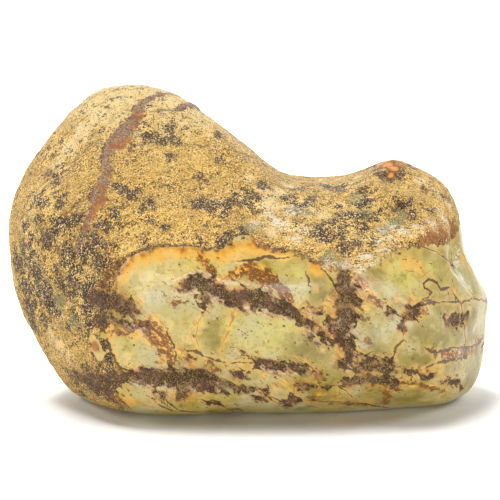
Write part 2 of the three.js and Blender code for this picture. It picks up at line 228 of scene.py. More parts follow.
# Fine brown cracks.
FINE_LINES = {
    "foot one": [(-32.5, -31.6, 0.32), (-31.2, -33.7, 0.28), (-29.3, -35.8, 0.25), (-26.6, -37.4, 0.21)],
    "foot two": [(-22.9, -33.9, 0.23), (-20.6, -35.5, 0.28), (-17.9, -36.9, 0.23)],
    "foot three": [(-11.5, -34.2, 0.28), (-8.7, -35.1, 0.23), (-5, -36.2, 0.25), (-0.9, -37.4, 0.21)],
    "foot four": [(2.8, -32.5, 0.23), (5, -34.2, 0.25), (8.3, -35.5, 0.21)],
    "hook": [(32.1, -25.9, 0.34), (32.9, -24.1, 0.37), (33.1, -22.5, 0.39), (34.4, -21.5, 0.32),
        (35.3, -20.3, 0.34), (35.1, -19, 0.39), (34.6, -17.6, 0.34), (35.3, -16, 0.32)],
    "hook top": [(37.6, -13.1, 0.37), (39, -11.5, 0.37), (40.8, -10.8, 0.34), (41.4, -9.6, 0.3),
        (40, -8.7, 0.32), (39.9, -7.6, 0.32), (41, -6.5, 0.32), (42.4, -7, 0.32), (43.5, -8.5, 0.32),
        (44.7, -9.2, 0.3), (45.5, -8.5, 0.25), (46.4, -9.2, 0.3), (47, -10.8, 0.32), (48.1, -11.8, 0.32)],
    "heel level": [(39, -12.5, 0.23), (41.7, -12, 0.28), (45.2, -12, 0.23), (48.1, -11.8, 0.32),
        (51.6, -11.3, 0.3), (54.8, -12, 0.3)],
    "heel upright": [(48.4, -12, 0.3), (48.7, -14.2, 0.28), (49, -17.4, 0.28), (49.3, -21.3, 0.32)],
    "wedge top": [(40.6, -22.6, 0.34), (42.6, -23.4, 0.32), (44.7, -23.1, 0.28), (47.2, -22.5, 0.28),
        (49.3, -22.2, 0.3), (51.6, -21.8, 0.3), (53.4, -19.9, 0.32)],
    "wedge foot": [(49.5, -24.3, 0.41), (46.8, -25.3, 0.3), (43.8, -25.6, 0.32), (41.7, -26.4, 0.37),
        (39.4, -27.5, 0.3)],
    "foot line": [(16.7, -34.8, 0.18), (20.2, -34.8, 0.21), (23.4, -34.8, 0.21), (26.6, -35.3, 0.25),
        (29.3, -35.8, 0.28), (31.9, -36.2, 0.23)],
    "foot slant": [(20.6, -31.4, 0.21), (22.2, -32.3, 0.21), (23.6, -33.7, 0.18)],
    "left level": [(-14, -22.9, 0.34), (-12, -23.4, 0.34), (-9.6, -24.4, 0.28), (-6.6, -25.6, 0.34),
        (-2.9, -25.9, 0.3), (0.5, -25.9, 0.3)],
    "foot left": [(-9.6, -35.5, 0.23), (-7.6, -35.5, 0.32), (-4.6, -36.3, 0.32), (-1.1, -36.9, 0.3),
        (2.8, -37.4, 0.23)],
    "foot far left": [(-19.3, -34.2, 0.23), (-18.1, -35.5, 0.28), (-16, -36.7, 0.28),
        (-11.9, -37.1, 0.23)],
    "patch seam": [(-32.3, -21.5, 0.39), (-31.4, -24.3, 0.41), (-29.6, -26.8, 0.39), (-27, -28.2, 0.34)],
    "foot seam": [(-32.8, -31.2, 0.3), (-30.5, -33.1, 0.32), (-28.9, -34.8, 0.28), (-27.3, -36.4, 0.28)],
    "patch edge": [(-18.8, -18.6, 0.3), (-17.9, -21.5, 0.32), (-17, -23.8, 0.34), (-17.2, -25.2, 0.23)],
    "long crack": [(-14.4, 24.1, 0.18), (-11, 23.8, 0.18), (-7.6, 23.6, 0.21), (-3.9, 22.5, 0.23),
        (0, 21.3, 0.28), (3, 19.7, 0.32)],
    "middle crack": [(-21.3, 14.4, 0.16), (-17.2, 15.4, 0.16), (-13.3, 16.3, 0.18), (-11.2, 16.7, 0.16)],
    "short crack": [(-30.5, 20.4, 0.16), (-26.8, 20.6, 0.16), (-23.6, 21.1, 0.14)],
    "shoulder crack": [(-34.4, 25.2, 0.28), (-36.7, 23.4, 0.25), (-38.3, 21.8, 0.25), (-40.6, 19.9, 0.21),
        (-43.1, 18.8, 0.21)],
    "band side": [(-36, 12.1, 0.23), (-39, 10.8, 0.23), (-40.8, 9.4, 0.28), (-42.4, 6.9, 0.3)],
    "band spur": [(-31.4, 17.6, 0.28), (-30.3, 17, 0.28), (-29.1, 16.5, 0.23)],
    "top dash": [(-22.9, 31.6, 0.32), (-20.6, 31.9, 0.41), (-18.3, 31.6, 0.41), (-15.8, 31.6, 0.28)],
    "top dash end": [(-15.1, 30.3, 0.3), (-13.5, 29.8, 0.25)],
    "rim dash one": [(-28.2, 36.7, 0.18), (-26.1, 36.7, 0.18), (-23.6, 36.9, 0.18)],
    "rim dash two": [(-43.5, 25.2, 0.16), (-40.1, 28.2, 0.16), (-36.7, 30.9, 0.16)],
    "rim dash three": [(-35.5, 32.5, 0.16), (-32.1, 34.2, 0.16), (-29.3, 35.1, 0.16)],
    "border left": [(-29.8, -3.7, 0.16), (-27.3, -1.1, 0.23), (-23.8, 0, 0.28), (-21.1, 0.9, 0.3),
        (-18.3, 1.1, 0.3), (-15.4, 0.9, 0.3), (-12.6, 0.7, 0.28), (-9.6, 0.2, 0.25), (-6.2, 1.1, 0.21)],
    "border right": [(-2.3, -2.5, 0.28), (0.5, -2.3, 0.32), (3.4, -1.8, 0.37), (6.9, -1.8, 0.32),
        (10.3, -1.4, 0.28), (13.5, -0.7, 0.21)],
    "heel groove": [(46.1, -0.5, 0.14), (46.5, -3.2, 0.18), (47.2, -5.3, 0.18), (48.4, -7.1, 0.18),
        (49.7, -8.7, 0.18), (51.3, -10.5, 0.18)],
    "heel rim": [(48.8, -0.5, 0.18), (49.5, -2.3, 0.23), (50.4, -3.7, 0.21), (51.3, -5.7, 0.16)],
    "shoulder hair": [(35.5, 1.6, 0.11), (39, 0.9, 0.11), (42.4, -0.5, 0.16), (45.2, -2.1, 0.18),
        (46.8, -3.7, 0.18)],
    "pit edge": [(29.8, 11.9, 0.28), (31.2, 10.8, 0.34), (32.5, 9.4, 0.28)],
    "end dash one": [(39, 14, 0.28), (40.8, 13.5, 0.23), (42.6, 13.1, 0.23)],
    "end dash two": [(43.5, 12.6, 0.23), (45.2, 11.2, 0.23), (46.5, 9.4, 0.23)],
    "channel head": [(16.5, -4.4, 0.23), (18.3, -6.4, 0.21), (20.2, -9.2, 0.23)],
    "face tick": [(13.1, -6, 0.28), (13.5, -7.6, 0.23)],
    "round rim": [(23.8, -21.8, 0.23), (24.5, -23.6, 0.25), (26.1, -24.3, 0.25), (27.5, -23.6, 0.23)],
    "heel ring": [(55, -3, 23, 0.3), (54.5, 3, 22, 0.25), (53, 9, 24, 0.3), (49, 14, 27, 0.3),
        (44, 19, 28, 0.25)],
    "heel drop": [(53, 7, 24, 0.3), (53, 9, 18, 0.25), (51, 12, 12, 0.3), (47, 16, 8, 0.25),
        (43, 19, 5, 0.2)],
    "back wander": [(38, 21, 26, 0.25), (33, 24, 23, 0.3), (30, 25, 18, 0.25), (24, 27, 15, 0.3),
        (21, 27, 8, 0.25), (20, 25, 3, 0.25), (17, 20, 0, 0.2)],
    "back twig": [(2, 29, 14, 0.25), (0, 29, 10, 0.3), (-5, 28, 8, 0.25), (-8, 27, 4, 0.25),
        (-8, 22, 0, 0.2)],
    "under cross": [(26, -16, 0, 0.25), (18, -12, 0, 0.3), (10, -13, 0, 0.25), (2, -11, 0, 0.3),
        (-6, -14, 0, 0.25)],
    "crest crack": [(-28, 6, 70, 0.2), (-20, 9, 68, 0.25), (-11, 12, 63, 0.25), (-3, 14, 56, 0.2),
        (6, 15, 50, 0.2)],
    "back crack": [(-50, 12, 40, 0.2), (-42, 20, 42, 0.25), (-32, 25, 40, 0.3), (-21, 28, 42, 0.25),
        (-12, 27, 40, 0.2)],
    "back fork": [(-32, 25, 40, 0.25), (-27, 27, 33, 0.25), (-21, 29, 28, 0.3), (-12, 30, 25, 0.2)],
    "far end crack": [(-53, -4, 44, 0.2), (-53.5, 4, 38, 0.25), (-52, 10, 31, 0.25), (-48, 16, 25, 0.2)],
    "saddle crack": [(12, 12, 47, 0.2), (17, 18, 42, 0.25), (20, 22, 36, 0.3), (25, 24, 31, 0.2)],
}

RUST_LINES = {
    "drip": [(-3.7, -12.6, 0.32), (-3.9, -14.9, 0.37), (-4.4, -17, 0.34), (-5.3, -19.7, 0.28),
        (-6.6, -23.1, 0.23)],
    "drip left": [(-10.5, -14.2, 0.16), (-11.9, -17, 0.16), (-12.4, -19.5, 0.18), (-11.9, -22.2, 0.16)],
    "comb one": [(25.9, -7.6, 0.23), (27.3, -8.7, 0.28), (28.6, -10.8, 0.23), (29.6, -12.6, 0.18)],
    "comb two": [(24.5, -9.2, 0.18), (25.7, -10.8, 0.23), (27.3, -12.1, 0.23), (29.6, -12.8, 0.23)],
    "comb three": [(26.6, -5, 0.18), (28, -6.2, 0.21), (29.6, -7.1, 0.18)],
    "comb four": [(26.6, -10.8, 0.18), (28, -11.7, 0.21), (29.8, -12.1, 0.18)],
    "faint": [(10.8, -24.5, 0.16), (12.6, -25.7, 0.21), (14.7, -27.5, 0.21)],
    "band edge": [(12.1, -14.4, 0.23), (14.9, -17.2, 0.25), (17.4, -19.3, 0.28), (19.5, -21.1, 0.23)],
    "cloud one": [(35.3, -1.4, 0.18), (37.4, -1.8, 0.21), (39, -2.3, 0.16)],
    "cloud two": [(35.5, -4.6, 0.18), (37.6, -5, 0.23), (39.9, -5.7, 0.16)],
    "cloud three": [(38.5, -6.4, 0.16), (40.8, -5, 0.16)],
    "foot one": [(9.6, -30.5, 0.28), (10.1, -32.3, 0.28), (9.2, -34.4, 0.32)],
    "foot two": [(20.9, -30.9, 0.21), (20.2, -33.5, 0.23)],
    "branch": [(-6.6, -7.1, 0.28), (-4.8, -6, 0.28), (-2.5, -5, 0.32), (0.2, -4.4, 0.37)],
    "low edge": [(11.5, -33.9, 0.23), (13.8, -34.8, 0.23), (16.5, -35.5, 0.23)],
    "heel stain": [(52, 8, 30, 0.3), (50, 12, 26, 0.35), (47, 15, 24, 0.3)],
    "back seam": [(32, 25, 20, 0.3), (24, 28, 18, 0.4), (15, 29, 15, 0.35), (5, 30, 13, 0.3)],
    "back drip": [(8, 29, 9, 0.3), (6, 28, 5, 0.35), (3, 25, 1, 0.3)],
    "under seam": [(16, -4, 0, 0.3), (8, -1, 0, 0.35), (0, 3, 0, 0.3)],
}

# The iron band in the rind, down the front and over the crest to the back.
IRON_BAND = {
    "front": [(-16.5, 35.5, 0.32), (-19.3, 35.5, 0.5), (-22.2, 34.8, 0.78), (-24.5, 33.5, 0.96),
        (-25.7, 31.4, 1.28), (-27, 29.1, 1.5), (-28.9, 26.8, 1.8), (-30.7, 24.8, 1.9),
        (-32.5, 22.5, 1.15), (-33, 19.9, 1.01), (-33, 17.4, 1.1), (-33.7, 15.1, 1.28), (-34.8, 12.8, 1.5),
        (-35.1, 10.8, 1.28), (-36.2, 8.3, 0.83), (-37.4, 5.5, 0.73), (-38.5, 3, 0.69), (-39.4, 0.2, 0.6)],
    "over the crest": [(-16, -3, 68, 0.7), (-14, 3, 67, 1), (-14, 9, 64, 1.6), (-17, 15, 60, 2.1),
        (-18, 20, 54, 1.5), (-22, 25, 47, 1.8), (-24, 27, 40, 1.3), (-21, 29, 33, 1.6),
        (-23, 29, 26, 0.9), (-20, 29, 20, 0.6)],
}

# Pits and dents, each a place with its radius and its depth, which is less than 0 for a ridge.
HOLLOWS = [
    (34.4, 10.3, 1.4, 1.1), (35.5, 9.2, 1.1, 0.5), (39.4, 9.9, 1, 0.7), (25.7, 13.3, 1.6, 0.7),
    (25.7, 9.9, 1.6, 0.8), (31.4, 17, 1.1, 0.7), (33.5, 17, 0.9, 0.4), (28.4, 10.3, 1.1, -0.5),
    (27.7, 7.3, 1.1, -0.4), (36.9, 11.9, 1.1, -0.5), (32.5, 19.9, 1.4, -0.5), (31.6, 5, 1.8, 0.5),
    (41.3, 4.1, 1.4, -0.5), (45.2, 5.5, 1.1, -0.6), (37.8, 2.8, 1.6, -0.3), (-12.4, -28.4, 0.9, 0.9),
    (-11, -28.9, 0.8, 0.5), (-48.1, -10.8, 1.8, 0.6), (-45.4, -12.1, 1.4, 0.5), (-49.7, -8, 1.4, 0.4),
    (20.6, 14.4, 2.8, 0.5), (16, 8, 2.1, 0.4), (-5.7, 4.1, 1.6, 0.4), (-22.9, 25.9, 1.4, 0.3),
    (21.8, -2.8, 1.4, 0.4), (48.1, -4.1, 1.4, 0.4), (2.8, 8, 1.8, 0.4), (-43.5, 17.2, 1.6, 0.4),
    (-32.1, 3.4, 1.4, 0.35), (-37.1, -2.8, 1.8, 0.5), (21.3, -14.2, 1.4, 0.5), (11.5, 14.9, 1.6, -0.4),
    (6.9, 11.5, 1.8, -0.3), (-28, 26.4, 2.1, -0.4), (-31.6, 21.8, 1.6, -0.3),
]

# Soft round patches of one look, by their radius.
PATCHES = {
    # Dark patches are clusters of manganese. Those in the knob's hollows and under its orange cap are also
    # painted shade.
    "dark": {
        0.92: [(-38, -26.6), (-37.1, -19.3), (-11.5, 2.3), (-26.8, 24.1), (-41.3, -17.9), (28, 6.9),
            (39.7, 13.8), (43.8, 12.4)],
        1.15: [(-33, -22.9), (-32.3, -25.4), (-31.6, -28), (-37.6, 4.1), (-23.6, 28.9), (-16.5, 24.5),
            (-18.6, 21.5), (-7.3, 20.6), (-10.1, 15.6), (-30.7, 14.4), (-25.9, 13.3), (-34.6, 5.7),
            (-19.5, 5), (-43.1, 12.4), (-42.2, 6.4), (-43.1, 5), (-41.7, -27.5), (-24.1, 0.9),
            (34.8, 17.9), (36.7, 18.8), (37.4, 7.1), (41.3, 8.7), (8, 11.5), (46.1, 2.5), (-33.9, 1.1)],
        1.4: [(-7.3, 26.4), (-11.5, 16.5), (-28.9, 13.3), (-24.5, 9.9), (-22.7, 10.8), (-30.9, 8.3),
            (-45.8, 17.4), (-36.7, -17), (-39.9, -15.6), (-39, -4.6), (-51.3, -2.8), (-50.4, 1.1),
            (-38, -33), (-6.4, 2.3), (28.9, 18.1), (27.7, 18.8), (25.7, 5.3), (17.2, 14.7), (24.5, 1.6),
            (34.2, 10.8), (33.9, 8.7), (11.5, 13.8), (14.4, 11.5)],
        1.6: [(-36.2, -28.4), (-34.4, -2.8), (-43.5, 10.3), (-18.3, 25.7), (-18.8, 28), (-27.5, 12.1),
            (-32.8, 5.3), (-36.7, 0.5), (-39.4, 7.6), (-38, -1.4), (-34.8, -1.4), (-37.1, -14.2),
            (-44.2, -4.6), (-42.2, -2.8), (-31.6, -31.2), (-34.8, -32.5), (0.5, 12.4), (-1.6, 4.1),
            (30.3, 17.2), (33.5, 17), (25.7, 13.8), (12.1, 9.2), (2.8, 14.7), (20.6, 13.8), (19, 6.4),
            (36, 10.3), (37.1, 8.7)],
        1.8: [(-48.1, 6.9), (-40.8, -7.3), (-22.9, 25.9), (-20.6, 25.2), (-35.1, 2.3), (-44, 15.8),
            (-45.4, 3.2), (-44, -14.2), (-35.5, -11.9), (-34.4, -29.8), (-11.5, 10.8), (-8.7, 10.1),
            (-2.3, 11.2), (-3.7, 3), (31.9, 16.3), (26.4, 7.8), (15.6, 3.9), (21.8, 0.7)],
        2.1: [(-42.2, -0.5), (-47.2, -15.6), (-43.1, -8), (-37.1, -9.2), (-40.1, -29.3), (-37.1, -30.7),
            (-5.5, 10.3), (26.1, 10.8)],
        2.3: [(-49.5, -17), (-51.8, 0), (-40.1, -8.7)],
        2.8: [(-46.3, 2.3), (-52.7, -2.8)],
        3: [(-45.8, -11.5)],
        3.2: [(-50.9, -8.7), (-50.4, -12.8)],
        3.4: [(-49, -4.6)],
        4: [(-24, 28, 14), (12, 28, 25), (29, 24, 39), (-43, 16, 14), (-15, 24, 56), (44, 14, 38)],
        4.1: [(-47.4, -8.7)],
        5: [(-30, 24, 46), (8, 29, 31), (-48, 10, 22)],
        6: [(-37, 22, 25)],
    },
    "russet_patch": {
        0.92: [(-33.5, -20.2), (-43.1, 7.3), (-20.6, 31.6), (-17.9, 31.6)],
        1.15: [(-36.7, -20.6), (47.2, 0.5), (-41.9, 7.6), (-8, 22.9), (-1.1, 21.1), (2.8, 19.5)],
        1.4: [(35.8, 18.8), (-31.6, 0), (-33.5, -10.5), (-41.3, -11.5), (47, 2.1), (39, 0.9), (13.3, 0),
            (-33.7, -27.3), (-28.9, -35.3)],
        1.6: [(-33, -28.4), (29.6, 17.9), (33.9, 17.4), (40.8, 3.2), (6.9, -0.7), (-35.3, -26.1),
            (-32.5, -33.9)],
        1.8: [(-33.7, -7.6), (-32.1, -2.8), (-36.7, -4.1), (45.4, 6.4), (43.8, 4.6), (42.9, 2.1),
            (-1.6, 0.2)],
        2.1: [(-34.8, -26.6), (-32.3, -5), (46.3, 4.4), (1.1, 0.9), (4.1, 0)],
        5: [(36, 22, 32), (10, 30, 17), (-46, 14, 42)],
        6: [(-14, 30, 26)],
        7: [(-31, 26, 10)],
    },
    # Gilt patches of rich yellow. Those low on the left flank also paint the light that reaches it.
    "gilt": {
        1.15: [(-36.2, -16.5)],
        1.4: [(19.5, 0), (22.9, 3.4)],
        1.6: [(29.3, 8)],
        1.8: [(45.2, 8)],
        2.1: [(28.6, 10.3), (-41.7, -13.3), (-43.5, -25.7)],
        2.3: [(-45.8, -18.8), (-40.1, -22.9), (9.2, 2.3), (-48.1, 6.9)],
        2.8: [(43.8, 10.3), (0, 18.3), (41.3, 10.3)],
        3.2: [(37.1, 14.7), (-25.2, 5.7), (-18.3, 3.4), (42.4, 14.9), (-27.5, 34.4), (-43.1, -21.8)],
        3.7: [(36.7, 14.9), (-11.5, 28.6)],
        4.1: [(40.1, 13.8)],
        4.6: [(-20.6, 18.3), (-16, 8), (-34.4, 30.9)],
        5: [(-5.7, 13.8)],
        5.7: [(-12.6, 19.5)],
        8: [(40, 15, 49), (-45, 15, 34), (-8, 29, 10)],
        9: [(0, 25, 44)],
        13: [(-22, 25, 50)],
    },
    "drab": {
        1.8: [(-8, 10.3)],
        2.1: [(1.1, 10.3), (-45.8, 22.5)],
        2.3: [(13.8, 11.5), (32.5, 6.4), (29.8, 8), (-5.7, 29.8), (-2.3, 12.6), (11.5, 5)],
        2.8: [(-44.7, -13.8), (-51.6, -6.9), (-43.5, 17.9), (-35.5, -14.9), (-36.7, -6.9), (-40.1, -4.6),
            (-6.9, 10.3), (26.4, 2.3)],
        3: [(-39, 0), (11.5, 10.3), (-43.5, 5.7)],
        3.2: [(22.9, 8), (-37.8, -11.5), (16, 3.4), (18.3, 9.2)],
        3.4: [(25.2, 10.3)],
        3.7: [(-50.9, 4.6)],
        4.1: [(-48.1, 11.5), (-49.3, -2.3), (-48.1, -9.2), (20.6, 14.4), (21.8, 5.7)],
        7: [(38, 18, 42)],
        9: [(-10, 29, 20)],
        10: [(22, 26, 34), (-52, 6, 28)],
        13: [(-38, 22, 30)],
    },
    # Worn skin on the saddle, the shoulder and the heel. It is real wear, and where it is painted pale it is
    # a painted sheen of the lamps.
    "wear_and_sheen": {
        0.69: [(48.4, -6.2), (50.4, -8.7)],
        0.8: [(49, -6.9)],
        0.92: [(47.9, 1.4), (47.4, -4.1), (48.1, -5.5)],
        1.03: [(47.7, 0), (47.4, -1.4), (47.4, -2.8)],
        1.15: [(43.5, 8.7)],
        1.4: [(29.8, 1.6), (44.2, 7.1), (28.2, -2.8), (30.9, -0.5), (30.7, 4.6)],
        1.6: [(9.6, 8.7), (5.7, 6.4), (26.4, -1.8), (1.1, 5.7), (12.1, 4.6), (32.5, 2.5), (35.5, 3.7),
            (38.5, 4.8), (41.5, 5.7), (18.3, -3.2), (21.8, -3.7), (25.2, -4.1), (33.2, 5)],
        1.8: [(10.3, 2.3)],
        2.3: [(4.1, 8.7), (7.6, 5)],
    },
    "pale": {
        1.4: [(-6.4, -4.6), (11.5, -11.5)],
        1.6: [(40.1, -34.6), (47, -32.5), (41.3, -5)],
        1.8: [(32.5, -4.6), (38, -5), (36.2, -7.8), (-2.3, -2.8)],
        2.1: [(43.5, -33.9), (35.3, -3.7), (-11.5, -2.8), (-16, -8), (-25.2, -9.2), (-27.5, -25.2),
            (33.2, -2.8)],
        2.3: [(-20.6, -2.8), (-13.8, -4.6), (-11.5, -17.2), (-17.9, -17.2)],
        2.5: [(-13.8, -20.6), (-28.4, -22.9)],
        3: [(-18.3, -5)],
        3.2: [(-22.9, -5.7)],
    },
    # The brightest yellow-green of the nephrite. Those in the middle of the face partly paint a soft
    # reflection of the lamps.
    "bright": {
        1.8: [(11.5, -5.7)],
        2.1: [(-4.6, -17.2), (41.3, -4.1)],
        2.8: [(-1.1, -21.8), (3.4, -21.8), (34.4, -4.6)],
        3.2: [(8, -17.9)],
        3.7: [(36.7, -6.4)],
        4.1: [(2.8, -18.3)],
    },
    "milky": {
        1.15: [(32.5, -33.9), (-6.4, -7.6)],
        1.4: [(-6.4, -28), (24.5, -32.3), (2.8, -9.6), (-35.3, -22)],
        1.6: [(-29.8, -36.2), (-22.9, -36.2), (-16, -36), (-11.5, -28), (-22.5, -33.2), (13.8, -2.8),
            (-24.8, -11.5), (51.6, -18.3), (52.7, -14.2)],
        1.8: [(-8, -35.3), (-2.3, -33.5), (-11.5, -30.7), (11.5, -33.9), (16.5, -10.5), (25.7, -22.5),
            (-20.6, -11.5), (29.8, -18.3)],
        2.1: [(4.6, -30.3), (1.1, -29.3), (-14.9, -27)],
        2.3: [(-4.1, -33.5)],
        3: [(-1.1, -34.4)],
    },
    # Deeper olive clouds. Those low on the right also paint shade, darkening the nephrite where the floor's
    # light reflects in it.
    "deep": {
        1.4: [(-14.7, -22.9), (33.9, -23.4)],
        1.6: [(-8, -16), (-14.9, -35.1), (18.3, -11.5)],
        1.8: [(19.5, -25.7), (12.6, -29.3), (-19.5, -34.4), (28.6, -18.8), (45.4, -12.6), (34.4, -11.5),
            (11.5, -36.2)],
        2.1: [(50.4, -28.6), (18.3, -29.8), (16, -33.2)],
        2.3: [(42.6, -21.8), (29.3, -22.9), (22.9, -35.5), (47, -18.3)],
        2.8: [(11.5, -21.8), (37.8, -23.4)],
        3: [(38.5, -19.5)],
        3.2: [(40.8, -18.8)],
        3.7: [(16, -22.9)],
        4.1: [(43.5, -20.6)],
    },
    "amber": {
        0.92: [(-10.8, -14.7), (-12.1, -22), (-3.7, -14.2), (-4.6, -17.4), (-6.6, -22.9)],
        1.15: [(51.3, -21.5), (-25.2, -11.5), (-22.9, -15.6), (22.9, -28), (33.9, -11.5), (-35.3, -22),
            (-11.9, -17.2), (-12.4, -19.7), (-5.5, -20.6), (-7.6, -7.3), (-5, -6), (6.4, -28.4),
            (12.8, -16.5), (29.3, -12.8), (40.8, -12.8), (48.6, -21.8), (48.6, -12.1), (48.8, -1.8),
            (-17, -32.5)],
        1.4: [(18.3, -11.5), (22.9, -6), (26.1, -13.3), (38, -12.8), (-1.4, -4.1), (2.8, -4.6),
            (-28, -1.8), (-20.6, -18.8), (21.8, -2.8), (-31.6, -7.6), (7.8, -1.4), (-31.9, -18.6),
            (-33.7, -26.8), (-18.8, -21.8), (2.8, -28.9), (18.3, -19.5), (17.4, -22.9), (20.2, -24.1),
            (17.4, -12.6), (21.1, -31.6), (19.7, -33.5), (16.5, -32.8), (26.6, -8.7), (28, -11),
            (37.1, -11.5), (39, -14.2), (35.1, -30.5), (46.3, -30.7), (40.1, -28), (50.4, -23.4),
            (47, -9.9), (50.4, -4.1), (33.5, -32.3), (31.2, -33.9), (-13.8, -33.7), (36.2, -3.2),
            (45.8, -4.6)],
        1.6: [(15.1, -1.8), (17.4, -3.2), (18.8, -14.9), (24.8, -11.5), (35.3, -14.2), (44.9, -23.4),
            (-29.8, -3.7), (-13.3, -25.7), (-6.4, -1.8), (-19.9, -25.2), (5.7, -31.2), (4.8, -33.9),
            (7.8, -30.7), (9.6, -32.1), (19.5, -21.8), (16.5, -9.2), (37.8, -31.2), (41.3, -31.6),
            (44.5, -32.1), (18.3, -35.3), (-23.8, -35.3), (39, -4.1)],
        1.8: [(-22, -16.5), (-19.3, -20.2), (-15.6, -23.4), (-29.3, -5.5), (-20.6, -0.7), (-17, -0.5),
            (-13.3, -0.5), (-9.6, -0.9), (4.6, -0.2), (-26.4, -19.5), (-22.9, -21.1), (15.6, -4.6),
            (43.5, -27), (26.4, -34.8), (-35.3, -31.6), (-28, -34.8)],
        2.1: [(-27, -3.2), (-24.1, -1.4), (-2.8, -0.5), (0.9, 0.5), (21.8, -34.4)],
    },
    "orange": {
        0.69: [(-37.6, 5), (-42.2, 8.5)],
        0.78: [(-32.3, 17)],
        0.92: [(-26.6, 28.2), (-28.2, 24.8), (-31.4, 23.4), (-33.7, 13.8), (-35.3, 9.6), (-36.4, 7.6),
            (-33.5, -18.3)],
        1.15: [(-25.4, 30.3), (30.5, 19.3), (39.9, 1.6)],
        1.4: [(-29.8, 23.6), (-33.9, 11.5), (34.2, 19), (45.4, 1.6), (41.3, 2.8), (46.3, 5.5),
            (47.7, 3.7), (44.5, 3.2)],
        1.6: [(32.3, 18.6), (43.8, 3.7), (42.2, 2.3)],
        1.8: [(45.8, 5), (47.2, 2.8)],
    },
    # Pale chalk. The patches along the top edge and on the saddle also paint the overhead light there, and
    # those low on the left paint the light that reaches that flank, as well as a paler rind.
    "chalk_and_light": {
        1.15: [(24.8, 16.5), (-40.8, -12.6), (-43.1, -14.7)],
        1.4: [(0, 16.5), (16, 15.8), (20.6, 16), (45.2, 10.3), (34.8, 4.1)],
        1.6: [(20.6, 10.3), (2.8, 13.8), (4.6, 3.7), (42.6, 13.3), (32.1, 5.5)],
        1.8: [(12.4, 15.4), (39, 15.6), (-45.4, -19.5), (-41.3, -24.8)],
        2.1: [(17, 7.8), (9.4, 14.4), (6.9, 6), (-43.5, -21.8)],
        2.3: [(-11.5, 34.4), (8.7, 9.2), (12.8, 8.7), (-44, 19.7), (6.9, 12.8)],
        2.5: [(4.1, 11)],
        2.8: [(-12.6, 35.5)],
        3.2: [(-19.5, 37.6), (-24.1, 37.1), (-41.3, 23.4)],
        3.7: [(-17.2, 37.6), (-38.5, 27)],
        3.9: [(-34.8, 30.7)],
        4.1: [(-22.9, 36.2), (-29.8, 33.9)],
    },
    "bare": {
        0.92: [(-30.3, -34.4)],
        1.15: [(-33, -35.1)],
        1.4: [(-34.6, -24.3)],
        1.6: [(-36, -20.6)],
        2.1: [(-35.5, -22.7)],
    },
    "ember": {
        0.92: [(32.3, 17.2)],
        1.4: [(34.8, 19.9), (32.8, 18.6)],
        1.6: [(31.6, 19.3)],
        1.8: [(30, 20.6), (33.5, 20.6)],
        2.1: [(31.6, 21.1)],
    },
    "grizzle": {
        1.6: [(21.8, -9.2), (22, -16), (24.1, -32.5), (-9.6, -11.5), (2.8, -11.5), (45.4, -17.2)],
        1.8: [(21.5, -12.6), (20.6, -30.9), (-11.9, -9.6), (-5.7, -30.9), (-20.6, -32.5), (43.5, -14.9)],
        2.1: [(23.4, -28), (26.4, -29.8), (-16, -32.5)],
    },
    "sage": {
        1.4: [(34.8, 8.3), (24.5, 11.7), (25.7, 9.2), (20.4, -3.7), (-34.4, -11.5), (0, 5)],
        1.6: [(12.6, 8.7), (-40.1, -16.5)],
        1.8: [(30.9, 4.8), (33.2, 6.2), (18.3, -1.8), (-43.5, -11.5)],
        5: [(30, 24, 30)],
        6: [(-34, 24, 36), (14, 28, 37), (-47, 10, 50), (-6, 27, 52)],
    },
}


def hex_colour(code, alpha=1.0):
    """Turns an sRGB hex value such as "#CFCB92" into linear red, green, blue and alpha."""
    channels = [int(code[i:i + 2], 16) / 255 for i in (1, 3, 5)]
    linear = [c / 12.92 if c <= 0.04045 else ((c + 0.055) / 1.055) ** 2.4 for c in channels]
    return (*linear, alpha)


def tint(name, description, code):
    """A colour that the user may change."""
    return bpy.props.FloatVectorProperty(
        name=name, description=description, default=hex_colour(code), size=4, min=0, max=1, subtype="COLOR")


def length(name, description, default_mm, low_mm, high_mm):
    """A length that the user may change, kept in metres."""
    return bpy.props.FloatProperty(
        name=name, description=description, default=default_mm * MM, min=low_mm * MM, max=high_mm * MM,
        unit="LENGTH", subtype="DISTANCE", precision=5)


